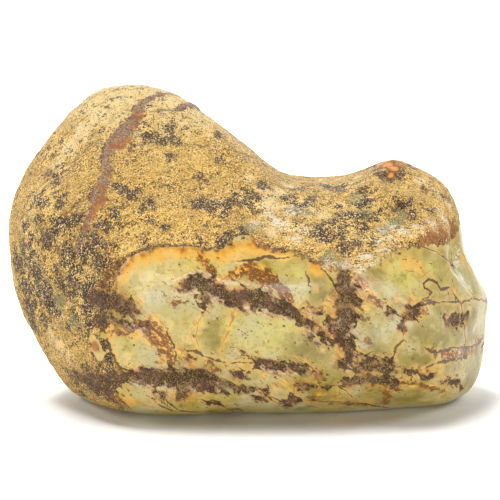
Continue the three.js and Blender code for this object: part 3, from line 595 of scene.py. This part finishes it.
class PebbleSettings(bpy.types.PropertyGroup):
    """Fineness, relief and colours of the stone."""

    grid: length("Grid", "Spacing of the stone's mesh", 0.56, 0.5, 2)
    rind_height: length("Rind height", "How far the rind stands proud of the nephrite", 0.22, 0, 0.6)
    rind_grain: length("Rind grain", "Height of the rind's sandy grain", 0.34, 0, 1)
    rind_swell: length("Rind swell", "Height of the rind's broad lumps", 0.5, 0, 1)
    vein_depth: length("Vein depth", "Depth of the weathered veins", 0.3, 0, 1)
    band_height: length("Band height", "How far the iron band stands proud of the rind", 0.3, 0, 1)
    polish_swell: length("Polish swell", "Height of the polished stone's soft waves", 0.22, 0, 0.6)

    ochre: tint("Ochre", "The rind's main colour", "#D6A64A")
    deep_ochre: tint("Deep ochre", "The rind where it holds more iron", "#B88A3E")
    gold: tint("Gold", "The rind's richest yellow", "#F0BE58")
    straw: tint("Straw", "Pale grains in the rind", "#FDD67C")
    # The pale crest, and the painted overhead light on it where it faces up.
    chalk_and_light: tint("Chalk", "The rind's pale, worn crest", "#FFE8B2")
    umber: tint("Umber", "Dark pits and grains in the rind", "#4E2E06")
    manganese: tint("Manganese", "Purple-brown clusters on the rind", "#3C240E")
    clot_brown: tint("Cluster brown", "Grey-brown grains in the clusters", "#785846")
    band_brown: tint("Band brown", "The iron band across the rind", "#98704E")
    band_grey: tint("Band grey", "Grey grains in the iron band", "#D0B698")
    band_orange: tint("Band orange", "The iron band's bright edge", "#A0602F")
    ember: tint("Ember", "The orange cap of the small hump", "#F2A448")
    russet: tint("Russet", "Red-brown stains on the rind", "#985A26")
    sage: tint("Sage", "Grey-green weathered dust in the hollows of the rind", "#96905E")
    # Worn skin, painted pale to stand for the lamps' sheen on the shoulder and the saddle.
    worn_skin_and_sheen: tint("Bloom", "Grey-pink worn skin on the shoulder", "#D6CCB2")
    celadon: tint("Celadon", "The nephrite's main colour", "#A4934E")
    straw_jade: tint("Straw nephrite", "The nephrite's palest yellow", "#C2AC64")
    milk: tint("Milk", "The nephrite's whitish clouds", "#A89F76")
    olive: tint("Olive", "The nephrite's deeper clouds", "#76661E")
    citron: tint("Citron", "The nephrite's brightest yellow-green", "#B6AA5E")
    amber: tint("Amber", "Nephrite that iron has soaked into", "#C9A04C")
    orange: tint("Orange", "Nephrite that the most iron has soaked into", "#BC7A08")
    rust: tint("Rust", "Iron stain in seams and beside cracks", "#7E4210")
    vein: tint("Vein", "Darkest grains in the veins", "#442A0E")
    vein_edge: tint("Vein brown", "Brown grains in the veins, and the fine cracks", "#5A3818")
    vein_grey: tint("Vein grey", "Grey-olive grains in the veins", "#84653F")
    vein_light: tint("Vein light", "Pale grains in the veins", "#A68E66")


def settle(stone, place):
    """Where a mark lies on the stone, given on the front plane or in space."""
    if len(place) == 3:
        return stone.find_nearest(Vector(place))[0]
    across, up = place
    target = AIM + Vector((across, 0, 0)) + UPRIGHT * up
    hit = stone.ray_cast(CAMERA, (target - CAMERA).normalized())[0]
    return hit or stone.find_nearest(target)[0]


def trace(stone, marks):
    """Runs a Catmull-Rom curve over the stone through a route's marks.

    Returns its points, the stone's normals there and the half widths, every ROUTE_STEP mm.
    """
    knots = np.array([(*settle(stone, mark[:-1]), mark[-1]) for mark in marks])
    knots = np.vstack([2 * knots[0] - knots[1], knots, 2 * knots[-1] - knots[-2]])
    samples = []
    for before, start, end, after in zip(knots, knots[1:], knots[2:], knots[3:]):
        count = max(1, round(np.linalg.norm((end - start)[:3]) / ROUTE_STEP))
        for t in np.arange(count) / count:
            bend = 2 * before - 5 * start + 4 * end - after
            twist = 3 * start - before - 3 * end + after
            samples.append((2 * start + (end - before) * t + bend * t**2 + twist * t**3) / 2)
    samples.append(knots[-2])
    found = [stone.find_nearest(Vector(sample[:3])) for sample in samples]
    points = np.array([hit[0] for hit in found])
    normals = np.array([hit[1] for hit in found])
    return points, normals, np.array([sample[3] for sample in samples])


class Reach:
    """For each vertex, how far the nearest of several routes is.

    edge is the distance to the mark's edge in mm, less than 0 inside it, and side is the distance
    to its middle in half widths, less than 0 on the left of the route.
    """

    def __init__(self, vertices, routes, reach):
        self.edge = np.full(len(vertices), float(reach))
        self.side = self.edge.copy()
        self.nearest = self.edge.copy()
        for points, normals, widths in routes:
            middle = points.mean(axis=0)
            span = np.linalg.norm(points - middle, axis=1).max() + reach
            close = np.flatnonzero(np.linalg.norm(vertices - middle, axis=1) < span)
            for i in range(len(points) - 1):
                self.add_stretch(vertices, close, points[i:i + 2], normals[i], widths[i:i + 2])

    def add_stretch(self, vertices, close, ends, normal, widths):
        """Takes in one straight stretch of a route, for the vertices that are close to the route."""
        along = ends[1] - ends[0]
        offset = vertices[close] - ends[0]
        t = np.clip(offset @ along / max(along @ along, 1e-9), 0, 1)
        away = offset - t[:, None] * along
        distance = np.linalg.norm(away, axis=1)
        width = widths[0] + (widths[1] - widths[0]) * t
        self.edge[close] = np.minimum(self.edge[close], distance - width)
        nearer = distance < self.nearest[close]
        sign = np.where(away @ np.cross(along, normal) < 0, -1.0, 1.0)
        self.nearest[close] = np.where(nearer, distance, self.nearest[close])
        self.side[close] = np.where(nearer, sign * distance / width, self.side[close])


def bell(stone, vertices, place, radius):
    """A soft round spot on the stone, 1 in its middle and about a third at its radius."""
    distance = np.linalg.norm(vertices - np.array(settle(stone, place)), axis=1)
    return np.exp(-(distance / radius) ** 2)


def patches(stone, vertices, places_by_radius):
    """How strongly soft round patches cover each vertex, 0 to 1."""
    cover = np.zeros(len(vertices))
    for radius, places in places_by_radius.items():
        for place in places:
            cover = np.maximum(cover, bell(stone, vertices, place, radius))
    return cover


def press(stone, vertices, normals):
    """The vertices, with the hollows pressed in and the ridges raised."""
    depth = np.zeros(len(vertices))
    for *place, radius, deep in HOLLOWS:
        depth += deep * bell(stone, vertices, place, radius)
    return vertices - normals * depth[:, None]


def ease(values, low, high):
    """0 below low, 1 above high, and a smooth rise between them."""
    t = np.clip((values - low) / (high - low), 0, 1)
    return t * t * (3 - 2 * t)


def vertex_places(mesh):
    """The vertices as an array, in mm."""
    flat = np.empty(len(mesh.vertices) * 3)
    mesh.vertices.foreach_get("co", flat)
    return flat.reshape(-1, 3) / MM


def vertex_normals(mesh):
    """The normals at the vertices as an array."""
    flat = np.empty(len(mesh.vertices) * 3)
    mesh.vertex_normals.foreach_get("vector", flat)
    return flat.reshape(-1, 3)


def put_vertices(mesh, places):
    """Moves the vertices to places, an array in mm."""
    mesh.vertices.foreach_set("co", (places * MM).ravel())
    mesh.update()


def apply_modifier(piece, kind, **settings):
    """Adds a modifier with its settings and applies it."""
    modifier = piece.modifiers.new(kind.lower(), kind)
    for name, value in settings.items():
        setattr(modifier, name, value)
    bpy.ops.object.modifier_apply(modifier=modifier.name)


def copy_of_node(name, piece_name):
    """A welded, active copy of a CAD node, ready for edits."""
    piece = bpy.data.objects.new(piece_name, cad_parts[name].data.copy())
    bpy.context.scene.collection.objects.link(piece)
    bpy.ops.object.select_all(action="DESELECT")
    piece.select_set(True)
    bpy.context.view_layer.objects.active = piece
    bpy.ops.object.mode_set(mode="EDIT")
    bpy.ops.mesh.select_all(action="SELECT")
    bpy.ops.mesh.remove_doubles(threshold=WELD * MM)
    bpy.ops.object.mode_set(mode="OBJECT")
    return piece


def weigh(piece, name, weights):
    """Stores weights as a vertex group, which a modifier reads."""
    group = piece.vertex_groups.new(name=name)
    steps = np.round(np.clip(weights, 0, 1) * WEIGHT_STEPS).astype(int)
    for step in range(1, WEIGHT_STEPS + 1):
        members = np.flatnonzero(steps == step).tolist()
        if members:
            group.add(members, step / WEIGHT_STEPS, "REPLACE")


def displace(piece, group, height, size_mm=None, depth=None):
    """Moves a group's surface along its normals, by one height or by clouds of a size in mm."""
    texture = None
    if size_mm:
        texture = bpy.data.textures.new(group, "CLOUDS")
        texture.noise_scale = size_mm * MM
        texture.noise_depth = depth
    apply_modifier(
        piece, "DISPLACE", texture=texture, texture_coords="LOCAL", vertex_group=group, strength=height,
        mid_level=0.5 if texture else 0.0)


def mark_fields(stone, vertices, normals):
    """Every mark on the stone as one number for each vertex.

    rind is the distance into the rind in mm, less than 0 on nephrite. veins, rusty, band and the
    edges are the distance to a mark's edge in mm. lines, rusts and band_side are the distance to a
    mark's middle in half widths. front and the patches run from 0 to 1.
    """
    def reach_of(routes, reach):
        return Reach(vertices, [trace(stone, route) for route in routes], reach)

    rind = reach_of([[(*mark, 1.0) for mark in RIND_EDGE + RIND_EDGE[:1]]], WHOLE_STONE)
    veins = reach_of(DARK_VEINS.values(), VEIN_REACH)
    rusty = reach_of(RUSTY_SEAMS.values(), SEAM_REACH)
    lines = reach_of(FINE_LINES.values(), LINE_REACH)
    rusts = reach_of(RUST_LINES.values(), LINE_REACH)
    band = reach_of(IRON_BAND.values(), SEAM_REACH)
    fields = {
        "rind": -rind.side,
        "veins": veins.edge,
        "rusty": rusty.edge,
        "lines": lines.side,
        "lines_edge": lines.edge,
        "rusts": rusts.side,
        "rusts_edge": rusts.edge,
        "band": band.edge,
        "band_side": band.side,
        "front": ease(normals @ -np.array(SIGHT), -0.1, 0.2),
    }
    for name, places_by_radius in PATCHES.items():
        fields[name] = patches(stone, vertices, places_by_radius)
    # Chalk on high ground that faces up is painted overhead light on the crest, as well as a paler crest.
    crest = ease(normals[:, 2], 0.2, 0.9) * ease(vertices[:, 2], *CREST_HEIGHT)
    fields["chalk_and_light"] = np.maximum(fields["chalk_and_light"], CREST_CHALK_AND_LIGHT * crest)
    return fields


def build_stone(settings):
    """The stone's mesh, with its relief, and the fields of its marks."""
    piece = copy_of_node("pebble", "nephrite_pebble")
    apply_modifier(piece, "SUBSURF", levels=SUBDIVISIONS, render_levels=SUBDIVISIONS)
    apply_modifier(piece, "REMESH", mode="VOXEL", voxel_size=settings.grid, use_smooth_shade=True)
    apply_modifier(piece, "SMOOTH", factor=0.5, iterations=SMOOTHING_ROUNDS)

    vertices = vertex_places(piece.data)
    faces = [tuple(face.vertices) for face in piece.data.polygons]
    stone = BVHTree.FromPolygons(vertices.tolist(), faces)
    normals = vertex_normals(piece.data)
    fields = mark_fields(stone, vertices, normals)
    put_vertices(piece.data, press(stone, vertices, normals))

    # The relief fades out above the resting flat, and the worn skin, which is also painted pale for
    # the lamps' sheen on it, takes most of the grain.
    clear = ease(vertices[:, 2], *RESTING_CLEARANCE)
    on_rind = ease(fields["rind"], -0.5, 0.5)
    rough = on_rind * (1 - 0.75 * fields["wear_and_sheen"])
    weights = {
        "rind relief": on_rind,
        "grain relief": rough,
        "polish relief": 1 - rough,
        "vein relief": 1 - ease(fields["veins"], -0.7, 0.5),
        "band relief": 1 - ease(fields["band"], -0.8, 0.3),
    }
    for name, weight in weights.items():
        weigh(piece, name, weight * clear)

    # Each layer is a group and a height, and for clouds their size in mm and their depth of detail.
    layers = (
        ("rind relief", settings.rind_height),
        ("rind relief", settings.rind_swell, 4.5, 2),
        ("grain relief", settings.rind_grain, 1.1, 2),
        ("polish relief", settings.polish_swell, 9.0, 1),
        ("vein relief", -settings.vein_depth),
        ("vein relief", settings.vein_depth, 1.0, 1),
        ("band relief", settings.band_height),
        ("band relief", settings.band_height * 1.6, 2.0, 2),
    )
    for layer in layers:
        displace(piece, *layer)
    piece.vertex_groups.clear()
    return piece, fields


def keep_in_box(piece):
    """Holds the relief inside the CAD box, so that the stone keeps its size and its flat."""
    low, high = np.array(CAD_BOX) / MM
    put_vertices(piece.data, np.clip(vertex_places(piece.data), low, high))


def store(mesh, fields):
    """Keeps each field on the mesh as an attribute, which the material reads."""
    for name, values in fields.items():
        mesh.attributes.new(name, "FLOAT", "POINT").data.foreach_set("value", values.astype(np.float32))


def add(tree, kind, inputs=(), stops=(), out=None, **settings):
    """Adds a shader node, with its settings, its inputs' values or links and a ramp's stops.

    inputs gives each input, by name or in order, a value or the output that feeds it.
    Returns the output named out, or else the first.
    """
    new = tree.nodes.new("ShaderNode" + kind)
    for name, value in settings.items():
        setattr(new, name, value)
    for name, value in inputs.items() if isinstance(inputs, dict) else enumerate(inputs):
        if isinstance(name, int):
            socket = new.inputs[name]
        else:
            socket = next(one for one in new.inputs if one.enabled and one.name == name)
        if isinstance(value, bpy.types.NodeSocket):
            tree.links.new(value, socket)
        else:
            socket.default_value = value
    for i, (place, colour) in enumerate(stops):
        stop = new.color_ramp.elements[i] if i < 2 else new.color_ramp.elements.new(place)
        stop.position = place
        stop.color = colour
    return new.outputs[out] if out else next((one for one in new.outputs if one.enabled), None)


def stone_material(settings, mark_names):
    """Nephrite, tumbled smooth by a river, under a rind of limonite.

    Tumbling leaves the nephrite waxy, cloudy and faintly see-through. The rind is earthy iron oxide:
    dull, sandy and speckled. Iron has soaked in along cracks, red-brown at the crack and amber further
    in. The rind's silt is under 0.1 mm and too fine to show, so it is drawn 0.25 mm wide.
    """
    material = bpy.data.materials.new("nephrite under limonite rind")
    material.use_nodes = True
    tree = material.node_tree
    tree.nodes.clear()
    put = functools.partial(add, tree)
    places = put("VectorMath", {"Vector": put("TexCoord", out="Object"), "Scale": 1 / MM}, operation="SCALE")
    marks = {name: put("Attribute", out="Fac", attribute_name=name) for name in mark_names}

    def summed(value, *pairs):
        """value plus each of the others times its share."""
        for other, share in pairs:
            value = put("Math", (other, share, value), operation="MULTIPLY_ADD")
        return value

    def amount(*parts):
        """The product of its parts, most often how much of something shows.

        A part is a number, an output, or (value, low, high), which eases from 0 where value is low
        to 1 where it is high.
        """
        product = None
        for part in parts:
            if isinstance(part, tuple):
                span = dict(zip(("Value", "From Min", "From Max"), part))
                part = put("MapRange", span, interpolation_type="SMOOTHSTEP")
            product = part if product is None else put("Math", (product, part), operation="MULTIPLY")
        return product

    def layered(under, *layers):
        """Lays colours over one another. A layer is its colour and the parts of its amount."""
        for colour, *parts in layers:
            under = put("Mix", {"Factor": amount(*parts), "A": under, "B": colour}, data_type="RGBA")
        return under

    def noise_of(size_mm, detail, roughness, seed, slant=0, stretch=(1, 1, 1)):
        """Noise around 0 with a spread of about 1, whatever its detail and roughness.

        slant turns the stretched grain down to the right, in degrees.
        """
        heights = [roughness**i for i in range(detail + 1)]
        spread = NOISE_SPREAD * math.sqrt(sum(height**2 for height in heights)) / sum(heights)
        where = put("Mapping", {
            "Vector": places, "Location": (-31 * seed, -17 * seed, -53 * seed),
            "Rotation": (0, math.radians(slant), 0), "Scale": stretch}, vector_type="TEXTURE")
        noise = put("TexNoise", {
            "Vector": where, "Scale": 1 / size_mm, "Detail": detail, "Roughness": roughness})
        return summed(-0.5 / spread, (noise, 1 / spread))

    # Sizes are the real ones, in mm: clouds deep in the nephrite, blots and lumps in the rind, its
    # grains, specks and sand, and the flakes and shreds of rust along cracks.
    clouds = noise_of(9, 3, 0.55, 0)
    blots = noise_of(4.5, 3, 0.6, 1)
    wisps = noise_of(2.8, 4, 0.6, 2)
    lumps = noise_of(1.5, 4, 0.65, 3)
    grains = noise_of(0.8, 3, 0.7, 4)
    specks = noise_of(0.4, 1, 0.5, 5)
    dust = noise_of(1.6, 5, 0.85, 7)
    sand = noise_of(0.25, 0, 0.5, 8)
    bends = noise_of(2.2, 1, 0.5, 9)
    flow = noise_of(1.3, 4, 0.7, 10, -8, (3.3, 1, 0.7))
    cracks = noise_of(3.6, 4, 0.6, 11, 50, (1.6, 1, 0.8))
    flecks = noise_of(1.1, 3, 0.7, 12, 35, (1.5, 1, 0.8))
    shreds = noise_of(1.6, 4, 0.7, 13, 36, (2.4, 1, 0.6))
    bedding = noise_of(2.0, 4, 0.65, 14, -28, (2.3, 1, 0.7))
    hairs = noise_of(5.5, 3, 0.55, 0, -26, (3.5, 0.9, 0.65))
    grit = summed(sand, (specks, 0.8))

    # The rind: ochre blots, pale and dark grains in them, clusters of manganese spots, weathered
    # dust, single bright and dark grains, and hair cracks. On the far side, where few clusters are
    # listed, blots add some.
    # Chalk: a paler rind, and painted light on the crest, the saddle and the lower left.
    chalky_and_lit = amount((summed(marks["chalk_and_light"], (wisps, 0.1), (grains, 0.1)), 0.05, 0.95))
    mottled = summed(bedding, (lumps, 0.7), (wisps, 0.4), (blots, 0.6))
    mottled = amount(mottled, summed(0.5, (marks["drab"], 0.9)))
    coarse = summed(0.55, (amount((summed(blots, (wisps, 0.7)), -1.6, 0.6)), 0.45))
    stained = summed(marks["russet_patch"], (lumps, 0.25))
    paled = summed(grit, (mottled, -0.7), (marks["drab"], 0.5), (chalky_and_lit, 0.6))
    peppered = summed(marks["drab"], (grit, -1.0), (mottled, 0.9), (chalky_and_lit, -0.7), (marks["gilt"], -0.35))
    spots = summed(
        grains, (mottled, 0.8), (marks["drab"], 1.0), (chalky_and_lit, -0.9), (grit, -0.25), (marks["gilt"], -0.5))
    unseen = amount(summed(1.0, (marks["front"], -1.0)), (blots, 0.6, 1.6))
    # Where the dark patches sit in the knob's hollows and under its cap, the clusters also paint the shade
    # there.
    clot = put("Math", (marks["dark"], unseen), operation="MAXIMUM")
    clot = summed(clot, (grains, 0.24), (lumps, 0.2), (specks, 0.06))
    clot_grain = put("ValToRGB", [amount((summed(grit, (grains, 0.5)), -2.0, 3.6))], [
        (0.35, settings.manganese), (0.7, settings.clot_brown), (1.0, settings.straw)])
    dusted = summed(marks["sage"], (grit, 0.14), (lumps, 0.15), (grains, 0.1))
    hair = put("Math", [hairs], operation="ABSOLUTE")
    rind = put("ValToRGB", [amount((summed(lumps, (blots, 0.7), (grains, 0.6)), -2.6, 2.6))], [
        (0.15, settings.deep_ochre), (0.45, settings.ochre), (0.8, settings.gold)])
    rind = layered(
        rind,
        (settings.gold, marks["gilt"], (lumps, -1.8, 0.8), 0.8),
        (settings.russet, marks["russet_patch"], (stained, 0.1, 0.5), 0.85),
        (settings.chalk_and_light, chalky_and_lit, 0.8),
        (settings.straw, (paled, 0.45, 1.35), coarse),
        (settings.umber, (peppered, 1.0, 1.8), coarse),
        (settings.manganese, (spots, 1.8, 2.4), 0.8),
        (clot_grain, (clot, 0.33, 0.52), 0.94),
        (settings.sage, (dusted, 0.15, 0.65), 0.8),
        (settings.chalk_and_light, (summed(grit, (marks["drab"], 0.7), (chalky_and_lit, 0.2)), 1.8, 2.4), 0.8),
        (settings.manganese, (summed(grit, (marks["drab"], -0.8)), -2.0, -2.6), 0.7),
        (settings.umber, (hair, 0.1, 0.03), (clouds, -0.2, 0.6), 0.6),
    )

    # The iron band, a brown crust with grey grains, a dark edge and orange swellings, and the
    # orange cap with its rusty rim.
    crust = layered(
        settings.band_brown,
        (settings.band_grey, (grit, -0.2, 2.4), 0.75),
        (settings.manganese, (summed(grit, (grains, 0.8)), -1.1, -2.8), 0.7),
        (settings.manganese, (summed(marks["band_side"], (wisps, 0.3)), 0.6, 1.2), 0.65),
    )
    swelling = layered(
        settings.band_orange, (settings.ember, (summed(lumps, (grains, 0.5)), 0.2, 2.6), 0.6))
    cap = summed(marks["ember"], (lumps, 0.06), (grains, 0.02))
    rind = layered(
        rind,
        (crust, (summed(marks["band"], (lumps, 0.3), (grains, 0.15)), 0.15, -0.15)),
        (swelling, (summed(marks["orange"], (lumps, 0.12), (specks, 0.06)), 0.25, 0.7), 0.85),
        (settings.rust, (cap, 0.1, 0.3), 0.85),
        (settings.ember, (cap, 0.3, 0.75), 0.95),
    )

    # The nephrite: milky and olive clouds in celadon.
    jade = put("ValToRGB", [amount((clouds, -3.6, 3.6))], [
        (0.1, settings.olive), (0.5, settings.celadon), (0.9, settings.milk)])
    jade = layered(
        jade,
        (settings.straw_jade, marks["pale"], (wisps, -2, 0.5)),
        # The deep patches low on the right partly paint shade.
        (settings.olive, marks["deep"], (wisps, 2.5, -0.8), 0.85),
        # The bright patches in the middle of the face partly paint a soft reflection.
        (settings.citron, marks["bright"], (wisps, -2.5, 0)),
        (settings.milk, marks["milky"], (wisps, -1.5, 0.8)),
        (settings.milk, (summed(wisps, (clouds, 0.6)), 0.2, 2.4), 0.5),
        (settings.olive, (summed(grains, (lumps, 0.7), (grit, 0.5)), 0.0, 3.4), 0.5),
    )

    # Iron soaked in beside the veins and the rind, fine random cracks, and flecks of rind.
    soaked = amount((summed(marks["amber"], (lumps, 0.04), (wisps, 0.06)), 0.05, 1.0))
    near_rind = amount((summed(marks["rind"], (wisps, 0.4)), -2.8, 0.0), 0.4)
    near_vein = amount((summed(marks["veins"], (wisps, 0.5)), 2.0, 0.0), (blots, -1.5, 1.5), 0.55)
    by_rind = amount((marks["amber"], 0.05, 0.6))
    inward = summed(marks["rind"], (wisps, 0.3), (lumps, 0.15))
    fissure = put("Math", [cracks], operation="ABSOLUTE")
    fleck = summed(flecks, (amount((marks["veins"], 6.0, 0.5)), 0.5), (blots, 0.2))
    jade = layered(
        jade,
        (settings.amber, soaked, (wisps, -2.0, 1.6)),
        (settings.rust, soaked, (summed(shreds, (wisps, 0.5)), 0.2, 2.4), 0.7),
        (settings.amber, put("Math", (near_rind, near_vein), operation="MAXIMUM")),
        (settings.amber, by_rind, (inward, -6.0, -1.5), 0.85),
        (settings.orange, by_rind, (inward, -2.8, -0.3), (wisps, -1.8, 1.2), 0.8),
        (settings.rust, by_rind, (inward, -1.1, 0.1), 0.8),
        (settings.amber, (fissure, 0.22, 0.0), (blots, 0.2, 1.0), 0.6),
        (settings.vein_edge, (fissure, 0.07, 0.02), (blots, 0.4, 1.0), 0.7),
        (settings.rust, (fleck, 2.0, 2.5), 0.6),
        (settings.vein, (fleck, 2.35, 2.65), 0.85),
    )

    # Rust lines and fine brown cracks, wandering a little, each with a soft amber halo.
    rust_side = put("Math", [summed(marks["rusts"], (bends, 0.5))], operation="ABSOLUTE")
    rust_near = amount((marks["rusts_edge"], 1.1, 0.5))
    line_side = put("Math", [summed(marks["lines"], (bends, 0.45))], operation="ABSOLUTE")
    line_near = amount((marks["lines_edge"], 1.1, 0.8))
    line_core = amount((summed(line_side, (grains, 0.25), (blots, 0.3)), 1.1, 0.4), line_near)

    # Rusty seams: a dark net in rust and amber.
    seam = summed(marks["rusty"], (lumps, 0.3), (wisps, 0.3))
    net = put("Math", [summed(shreds, (grains, 0.4), (grit, 0.2))], operation="ABSOLUTE")
    net = put("ValToRGB", [amount(net, 0.45)], [
        (0.04, settings.vein), (0.2, settings.vein_edge), (0.45, settings.rust), (0.8, settings.orange),
        (1.0, settings.amber)])

    # Veins of dark and pale grains, ragged and fraying into specks, with a rusty rim.
    rim = summed(marks["veins"], (lumps, 0.35), (wisps, 0.4), (grains, 0.12), (shreds, 0.4))
    frayed = amount((rim, 1.6, 0.0), summed(dust, (grit, 0.4)))
    veined = amount((summed(amount((rim, 0.3, -0.4)), (frayed, 0.28)), 0.38, 0.72))
    fill = summed(grit, (lumps, 0.25), (wisps, 0.5), (marks["grizzle"], 1.3))
    fill = put("ValToRGB", [amount((fill, -2.6, 3.8))], [
        (0.12, settings.vein), (0.42, settings.vein_edge), (0.66, settings.vein_grey),
        (0.92, settings.vein_light)])
    fill = layered(fill, (settings.clot_brown, (blots, -0.4, 1.2), 0.45))

    # Rind over nephrite, with a dark line where it thins out, then the marks, and on top worn skin,
    # painted pale grey-pink for the sheen of the lamps on it.
    sprinkled = amount(marks["wear_and_sheen"], dust)
    rind_edge = summed(
        marks["rind"], (marks["bare"], -6.0), (lumps, 0.3), (wisps, 0.25), (grains, 0.12), (sprinkled, 2.2))
    covered = amount((rind_edge, -0.1, 0.2))
    wear_and_sheen_cover = amount((summed(marks["wear_and_sheen"], (flow, 0.2)), 0.15, 1.0), (marks["wear_and_sheen"], 0.05, 0.3))
    rind = layered(
        rind, (settings.umber, (rind_edge, 0.9, 0.1), (blots, -1.6, 0.4), (marks["wear_and_sheen"], 0.5, 0.1), 0.8))
    skin = layered(
        jade,
        (rind, covered),
        (settings.amber, (rust_side, 4.5, 0.5), (rust_side, 4.5, 0.5), rust_near, 0.45),
        (settings.rust, (rust_side, 0.9, 0.2), rust_near, (lumps, -1.2, 0.2), 0.6),
        (settings.amber, (line_side, 4, 0.8), line_near, summed(1.0, (covered, -1.0)), 0.45),
        (net, (seam, 0.4, -0.2), 0.92),
        (settings.rust, (rim, 1.5, 0.1), (wisps, -1.4, 0.8), 0.7),
        (fill, veined, 0.96),
        (settings.vein, line_core, summed(0.9, (covered, -0.4))),
        (settings.worn_skin_and_sheen, wear_and_sheen_cover, (summed(flow, (grit, 0.9)), -2.0, 2.0), 0.75),
        (settings.clot_brown, wear_and_sheen_cover, (summed(flow, (grit, 0.8), (grains, 0.5)), -0.2, -1.8), 0.8),
    )

    # The rind and the veins are dull and bumpy. The nephrite between them has a waxy polish.
    earthy = put("Math", (covered, veined), operation="MAXIMUM")
    dull = put("Mix", {"Factor": earthy, "A": NEPHRITE_ROUGHNESS, "B": RIND_ROUGHNESS}, data_type="FLOAT")
    dull = put("Mix", {"Factor": marks["wear_and_sheen"], "A": dull, "B": WORN_ROUGHNESS}, data_type="FLOAT")
    glow = put("Mix", {"Factor": earthy, "A": NEPHRITE_GLOW, "B": 0.0}, data_type="FLOAT")
    height = amount(
        summed(dust, (lumps, 0.8), (grains, 0.6), (grit, 0.5)),
        amount(earthy, summed(1.0, (marks["wear_and_sheen"], -0.6))))
    height = summed(height, (wisps, 0.12), (line_core, -1.0))
    shader = put("BsdfPrincipled", {
        "Base Color": skin,
        "Roughness": dull,
        "Normal": put("Bump", {"Height": height, "Distance": BUMP_HEIGHT * MM, "Strength": 1.0}),
        "IOR": NEPHRITE_IOR,
        "Subsurface Weight": glow,
        "Subsurface Radius": GLOW_COLOUR,
        "Subsurface Scale": GLOW_DEPTH * MM,
    })
    put("OutputMaterial", {"Surface": shader})
    return material


def paper_material():
    """Seamless studio paper: matt and even, so it shows nothing but the stone's shadow."""
    material = bpy.data.materials.new("seamless paper")
    material.use_nodes = True
    shader = material.node_tree.nodes["Principled BSDF"]
    shader.inputs["Base Color"].default_value = hex_colour(PAPER)
    shader.inputs["Roughness"].default_value = PAPER_ROUGHNESS
    return material


def add_lamp(name, strength, right_degrees, front_degrees):
    """A far softbox overhead, tilted to the right and to the front, or back where less than 0."""
    bpy.ops.object.light_add(
        type="SUN", rotation=(math.radians(front_degrees), math.radians(right_degrees), 0))
    light = bpy.context.active_object
    light.name = name
    light.data.angle = LAMP_SOFTNESS
    light.data.energy = strength


def add_panel(name, watts, place, width, height):
    """A near softbox, turned to the stone and out of the camera's sight."""
    bpy.ops.object.light_add(type="AREA", location=place)
    light = bpy.context.active_object
    light.name = name
    light.data.shape = "RECTANGLE"
    light.data.size = width
    light.data.size_y = height
    light.data.energy = watts
    light.rotation_euler = (AIM * MM - light.location).to_track_quat("-Z", "Y").to_euler()
    light.visible_camera = False


def add_room(scene):
    """A white room, which the camera and the polish see brighter than it lights the stone."""
    world = bpy.data.worlds.new("white room")
    scene.world = world
    world.use_nodes = True
    tree = world.node_tree
    tree.nodes.clear()
    seen = add(tree, "LightPath", out="Is Camera Ray")
    mirrored = seen.node.outputs["Is Glossy Ray"]
    strength = add(tree, "Mix", {"Factor": mirrored, "A": ROOM_FILL, "B": ROOM_MIRRORED}, data_type="FLOAT")
    strength = add(tree, "Mix", {"Factor": seen, "A": strength, "B": ROOM_SEEN}, data_type="FLOAT")
    light = add(tree, "Background", {"Color": hex_colour("#FFFFFF"), "Strength": strength})
    add(tree, "OutputWorld", {"Surface": light})


class PEBBLE_OT_stone(bpy.types.Operator):
    """Builds the stone: its relief, its marks and its material"""

    bl_idname = "pebble.stone"
    bl_label = "Stone"

    def execute(self, context):
        settings = context.scene.pebble
        piece, fields = build_stone(settings)
        keep_in_box(piece)
        store(piece.data, fields)
        piece.data.materials.clear()
        piece.data.materials.append(stone_material(settings, list(fields)))
        bpy.ops.object.shade_smooth()
        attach(piece, "root")
        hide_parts("pebble")
        return {"FINISHED"}


class PEBBLE_OT_stage(bpy.types.Operator):
    """Adds the pale floor, the soft lights and the camera"""

    bl_idname = "pebble.stage"
    bl_label = "Stage"

    def execute(self, context):
        bpy.ops.object.select_all(action="DESELECT")
        bpy.ops.mesh.primitive_plane_add(size=FLOOR_WIDTH)
        floor = context.active_object
        floor.name = "floor"
        floor.data.materials.append(paper_material())

        for lamp in LAMPS:
            add_lamp(*lamp)
        for panel in PANELS:
            add_panel(*panel)
        add_room(context.scene)

        bpy.ops.object.camera_add(location=CAMERA * MM, rotation=(math.pi / 2 - CAMERA_ELEVATION, 0, 0))
        camera = context.active_object
        camera.data.lens = LENS_MM
        camera.data.sensor_width = SENSOR_MM
        camera.data.clip_start = CAMERA_CLIP_START * MM
        context.scene.camera = camera
        context.scene.view_settings.view_transform = "Standard"
        return {"FINISHED"}


class PEBBLE_PT_sidebar(bpy.types.Panel):
    """Lists the pieces and the settings they are built with"""

    bl_idname = "PEBBLE_PT_sidebar"
    bl_label = "Nephrite Pebble"
    bl_space_type = "VIEW_3D"
    bl_region_type = "UI"
    bl_category = "Pebble"

    def draw(self, context):
        settings = context.scene.pebble
        for name in settings.bl_rna.properties.keys():
            if name not in ("rna_type", "name"):
                self.layout.prop(settings, name)
        self.layout.operator(PEBBLE_OT_stone.bl_idname)
        self.layout.operator(PEBBLE_OT_stage.bl_idname)


CLASSES = (PebbleSettings, PEBBLE_OT_stone, PEBBLE_OT_stage, PEBBLE_PT_sidebar)


def register():
    for one in CLASSES:
        bpy.utils.register_class(one)
    bpy.types.Scene.pebble = bpy.props.PointerProperty(type=PebbleSettings)


def unregister():
    del bpy.types.Scene.pebble
    for one in reversed(CLASSES):
        bpy.utils.unregister_class(one)


def main():
    register()
    bpy.ops.pebble.stone()
    bpy.ops.pebble.stage()


if __name__ == "__main__":
    main()
